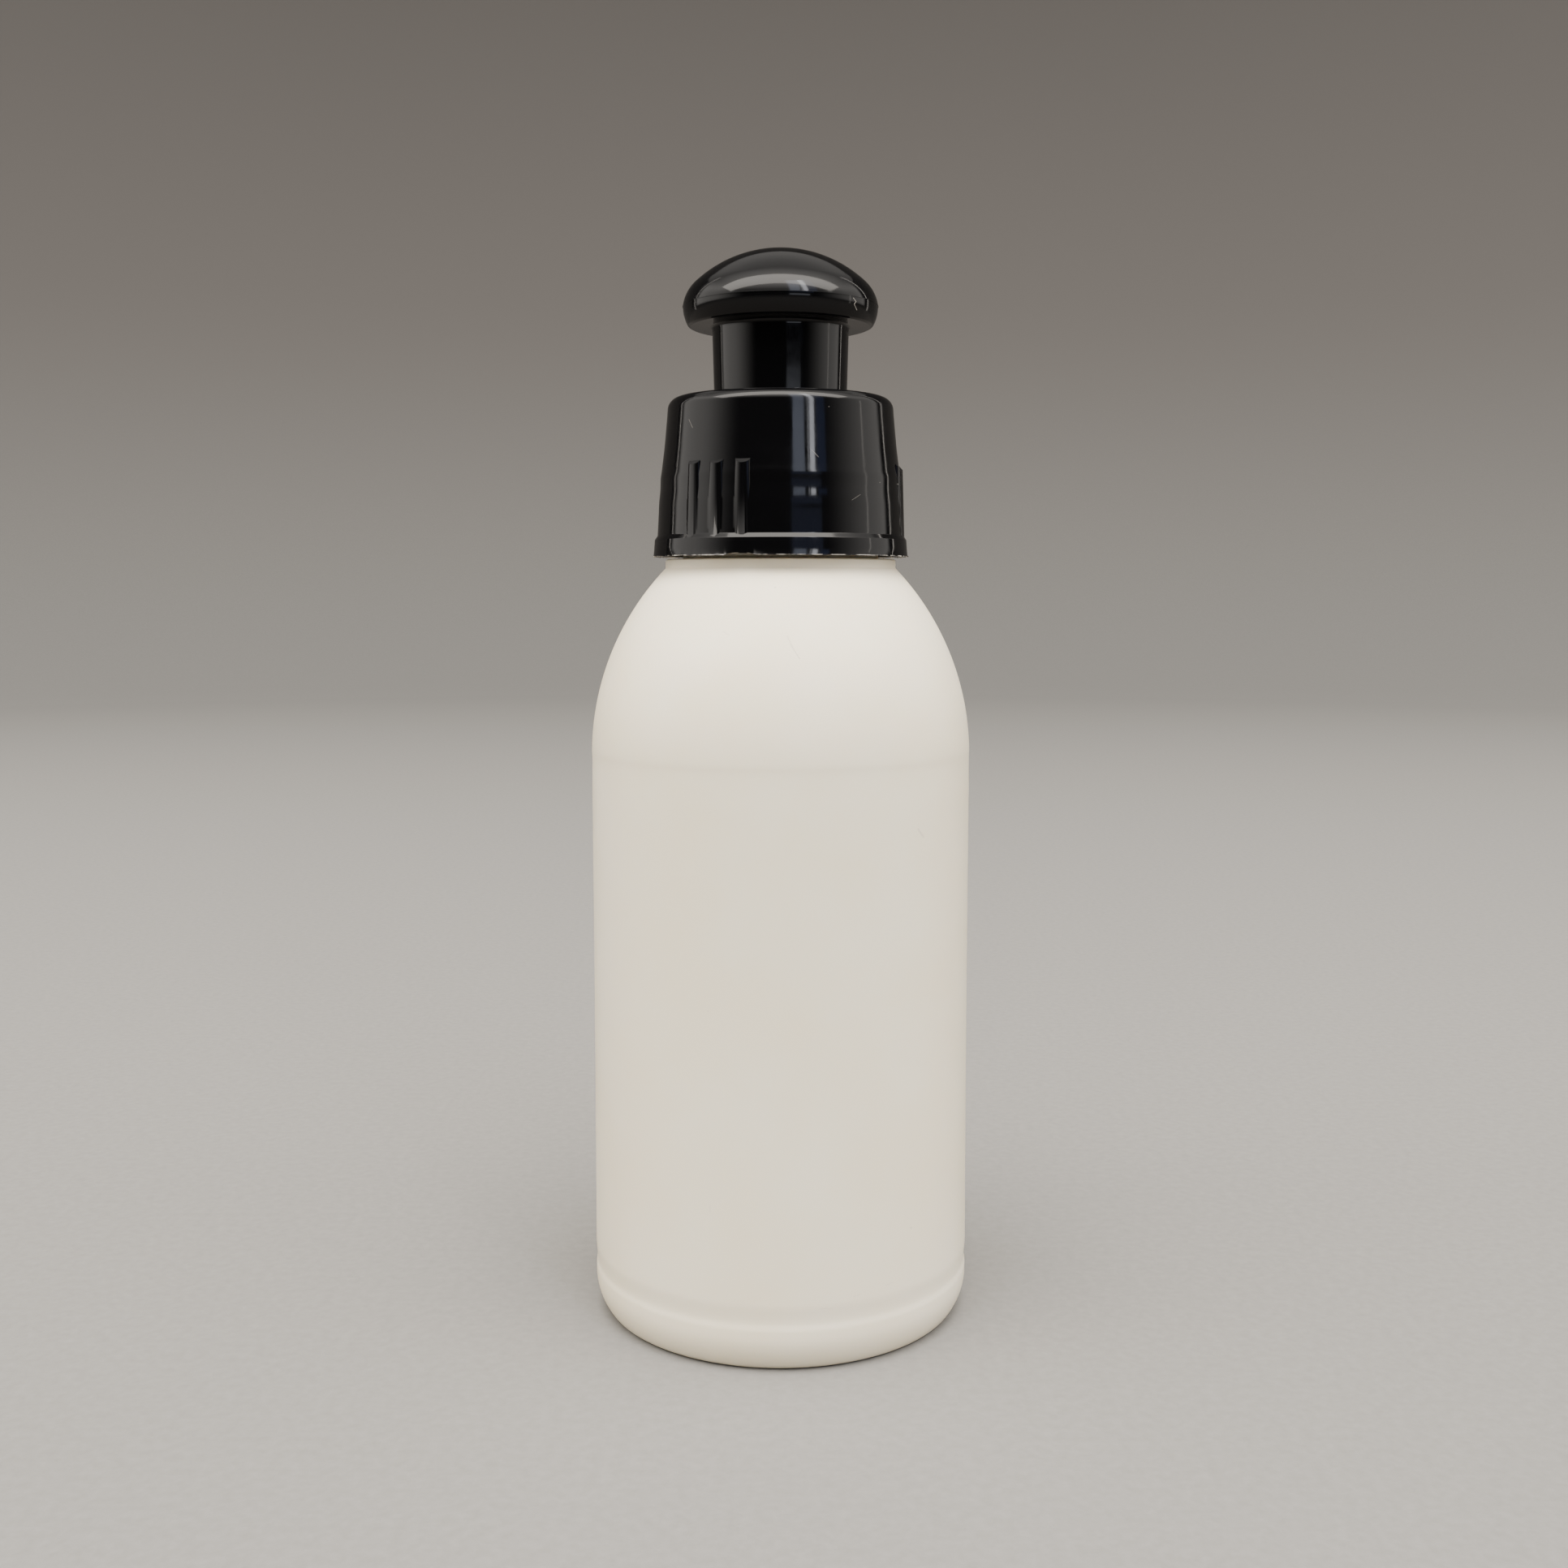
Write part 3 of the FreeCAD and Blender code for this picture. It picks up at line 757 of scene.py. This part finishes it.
def paper():
    """Matt paper, pale on the floor, with painted shade that darkens it up the wall. Its fibres are drawn
    about 1 mm wide so that they show. The gloss mirrors it as dark, so that black plastic stays black."""
    material, tree, place = new_material("paper_with_painted_wall_shade")
    fibres = add(tree, "TexNoise", "Fac", Vector=place, Scale=per_metre(1.2), Detail=4.0, Roughness=0.6)
    patchy = add(tree, "MapRange", "Result", Value=fibres, From_Min=0.3, From_Max=0.7)
    height = add(tree, "SeparateXYZ", "Z", Vector=place)
    # Painted shade: the paper is drawn darker with height, standing in for less light reaching the wall
    # higher up.
    shade = add(tree, "MapRange", "Result", interpolation_type="SMOOTHSTEP", Value=height, From_Max=0.45)
    base = add(tree, "Mix", 2, data_type="RGBA", i0=patchy, i6=colour("#747370"), i7=colour("#7C7B78"))
    base = add(tree, "Mix", 2, data_type="RGBA", i0=shade, i6=base, i7=colour("#6A6764"))
    glossy = add(tree, "LightPath", "Is Glossy Ray")
    base = add(tree, "Mix", 2, data_type="RGBA", i0=glossy, i6=base, i7=colour("#403E3C"))
    bump = add(tree, "Bump", "Normal", Strength=0.15, Distance=0.1 * MM, Height=fibres)
    shader = add(tree, "BsdfPrincipled", "BSDF", Base_Color=base, Roughness=0.9, Normal=bump)
    add(tree, "OutputMaterial", Surface=shader)
    return material


def wear(piece, material):
    piece.data.materials.clear()
    piece.data.materials.append(material)


# ---------------------------------------------------------------- studio

def make_camera():
    """Phone camera a hand's length away, a little above the middle of the object, looking slightly down."""
    data = bpy.data.cameras.new("camera")
    data.sensor_width = 36
    data.lens = LENS
    camera = bpy.data.objects.new("camera", data)
    camera.location = (0, -CAMERA_AWAY * MM, CAMERA_UP * MM)
    camera.rotation_euler = (radians(90 - CAMERA_DOWN_DEG), 0, radians(-CAMERA_LEFT_DEG))
    bpy.context.collection.objects.link(camera)
    bpy.context.scene.camera = camera


def panel(name, azimuth, elevation, width, height, radiance, tint="#FFFFFF", mirrored=True):
    """A soft rectangular light a metre off. Its place, from the front towards +X, and its size are in
    degrees as the bottle sees them. One that isn't mirrored only fills the shadows."""
    data = bpy.data.lights.new(name, "AREA")
    data.shape = "RECTANGLE"
    data.size = 2 * tan(radians(width / 2))
    data.size_y = 2 * tan(radians(height / 2))
    data.energy = radiance * pi * data.size * data.size_y
    data.color = colour(tint)[:3]
    light = bpy.data.objects.new(name, data)
    flat = cos(radians(elevation))
    way = Vector((sin(radians(azimuth)) * flat, -cos(radians(azimuth)) * flat, sin(radians(elevation))))
    light.location = Vector((0, 0, 0.09)) + way
    light.rotation_euler = (-way).to_track_quat("-Z", "Y").to_euler()
    light.visible_camera = False
    light.visible_glossy = mirrored
    bpy.context.collection.objects.link(light)


def band(tree, value, start, full, last, end):
    """1 from full to last, fading to 0 at start and at end."""
    rise = add(tree, "MapRange", "Result", interpolation_type="SMOOTHSTEP", Value=value, From_Min=start,
               From_Max=full)
    fall = add(tree, "MapRange", "Result", interpolation_type="SMOOTHSTEP", Value=value, From_Min=last,
               From_Max=end, To_Min=1.0, To_Max=0.0)
    return add(tree, "Math", 0, operation="MULTIPLY", i0=rise, i1=fall)


def make_room():
    """A dim room for the gloss to mirror: a soft grey wall at each side, and a pale ceiling that is
    dimmer towards the back. Seen directly it is plain grey all round."""
    world = bpy.data.worlds.new("room")
    bpy.context.scene.world = world
    world.use_nodes = True
    tree = world.node_tree
    tree.nodes.clear()
    way = add(tree, "TexCoord", "Generated")
    parts = add(tree, "SeparateXYZ", Vector=way).outputs
    ahead = add(tree, "Math", 0, operation="MULTIPLY", i0=parts["Y"], i1=-1.0)
    turn = add(tree, "Math", 0, operation="ARCTAN2", i0=parts["X"], i1=ahead)
    turn = add(tree, "Math", 0, operation="MULTIPLY", i0=turn, i1=180 / pi)
    walls = add(tree, "Math", 0, operation="MULTIPLY", i0=band(tree, turn, -118, -112, -86, -40), i1=1.4)
    walls = add(tree, "Math", 0, operation="MULTIPLY_ADD", i0=band(tree, turn, 40, 92, 112, 118), i1=1.1,
                i2=walls)
    front = add(tree, "MapRange", "Result", Value=ahead, From_Min=-0.3, From_Max=0.35, To_Min=0.5,
                To_Max=2.6)
    ceiling = add(tree, "Math", 0, operation="MULTIPLY", i0=band(tree, parts["Z"], 0.34, 0.80, 1.1, 1.2),
                  i1=front)
    low = band(tree, parts["Z"], -0.1, 0.05, 0.5, 0.75)
    strength = add(tree, "Math", 0, operation="MULTIPLY_ADD", i0=walls, i1=low, i2=ceiling)
    strength = add(tree, "Math", 0, operation="ADD", i0=strength, i1=0.02)
    mirrored = add(tree, "Background", 0, Color=colour("#FBF6F0"), Strength=strength)
    plain = add(tree, "Background", 0, Color=colour("#8E8A86"), Strength=0.6)
    direct = add(tree, "LightPath", "Is Camera Ray")
    either = add(tree, "MixShader", 0, Fac=direct, i1=mirrored, i2=plain)
    add(tree, "OutputWorld", Surface=either)


def make_studio():
    """A pale floor that curves up behind, and soft lights that the gloss mirrors."""
    floor = [(0, 0)] + [spot[:2] for spot in straight((60, 0), (FLOOR_R, 0), 240)]
    bend = arc((BACKDROP_BEND_R, BACKDROP_BEND_R), BACKDROP_BEND_R, -90, 0, 24)
    backdrop = [spot[:2] for spot in bend] + [(BACKDROP_BEND_R * 2, BACKDROP_HIGH)]
    sheets = (("paper_floor", floor, 360), ("paper_backdrop", backdrop, BACKDROP_SWEEP_DEG))
    material = paper()
    for name, profile, turn in sheets:
        piece = new_point(name, *profile[0])
        draw(profile)
        bpy.ops.mesh.select_all(action="SELECT")
        bpy.ops.mesh.spin(steps=96, angle=radians(turn), center=(0, 0, 0), axis=(0, 0, 1))
        bpy.ops.mesh.select_all(action="SELECT")
        bpy.ops.mesh.remove_doubles(threshold=0.01 * MM)
        bpy.ops.mesh.normals_make_consistent(inside=True)
        bpy.ops.object.mode_set(mode="OBJECT")
        bpy.ops.object.shade_smooth()
        piece.rotation_euler.z = radians(BACKDROP_TURN_DEG)
        bpy.ops.object.transform_apply(location=True, rotation=True, scale=True)
        wear(piece, material)
    panel("ceiling_light", 0, 63, 108, 32, 4.0, "#FFF8EF")
    panel("window_pane_bright", 31, 35, 4.8, 42, 8.0, "#F6F8FF")
    panel("window_mullion_glint", 27, 35, 0.8, 42, 5.0, "#F6F8FF")
    panel("window_pane_dim", 17.5, 35, 11.5, 42, 2.2, "#DFE8FF")
    panel("window_shade", 40, 35, 9, 42, 0.5, "#9FB8FF")
    panel("window_sill", 24, 10.5, 28, 6, 0.35, "#B4C6FF")
    panel("window_low", 22, 2.8, 24, 4.4, 1.3, "#E8EDF8")
    panel("left_door_edge", -119, 20, 1.0, 60, 3.0, "#FFF8EF")
    panel("right_door_edge", 123, 20, 1.4, 60, 3.0, "#FFF8EF")
    panel("right_shelf_edge", 88, 5, 1.4, 24, 1.5, "#FFF8EF")
    panel("top_fill", 0, 80, 40, 40, 14.0, "#FFF8EF", False)
    panel("left_fill", -95, 30, 50, 50, 1.9, "#FFF6EA", False)
    panel("right_fill", 100, 30, 50, 50, 1.6, "#FFF6EA", False)
    panel("front_fill", -10, 14, 30, 26, 1.2, "#FFF6EA", False)
    make_room()


# ---------------------------------------------------------------- assembly

make_camera()

bottle = make_bottle()
wear(bottle, polyethylene())
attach(bottle, "bottle_body")
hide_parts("bottle")

closure = make_closure()
wear(closure, black_polypropylene("closure_polypropylene", CLOSURE_MARKS, CAP_LOW))
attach(closure, "closure")
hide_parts("screw_cap")

head = make_head()
wear(head, black_polypropylene("head_polypropylene", HEAD_MARKS))
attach(head, "head")
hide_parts("push_pull_head")

washer = make_washer()
wear(washer, foamed_polyethylene())
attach(washer, "washer_body")
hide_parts("sealing_washer")

make_studio()
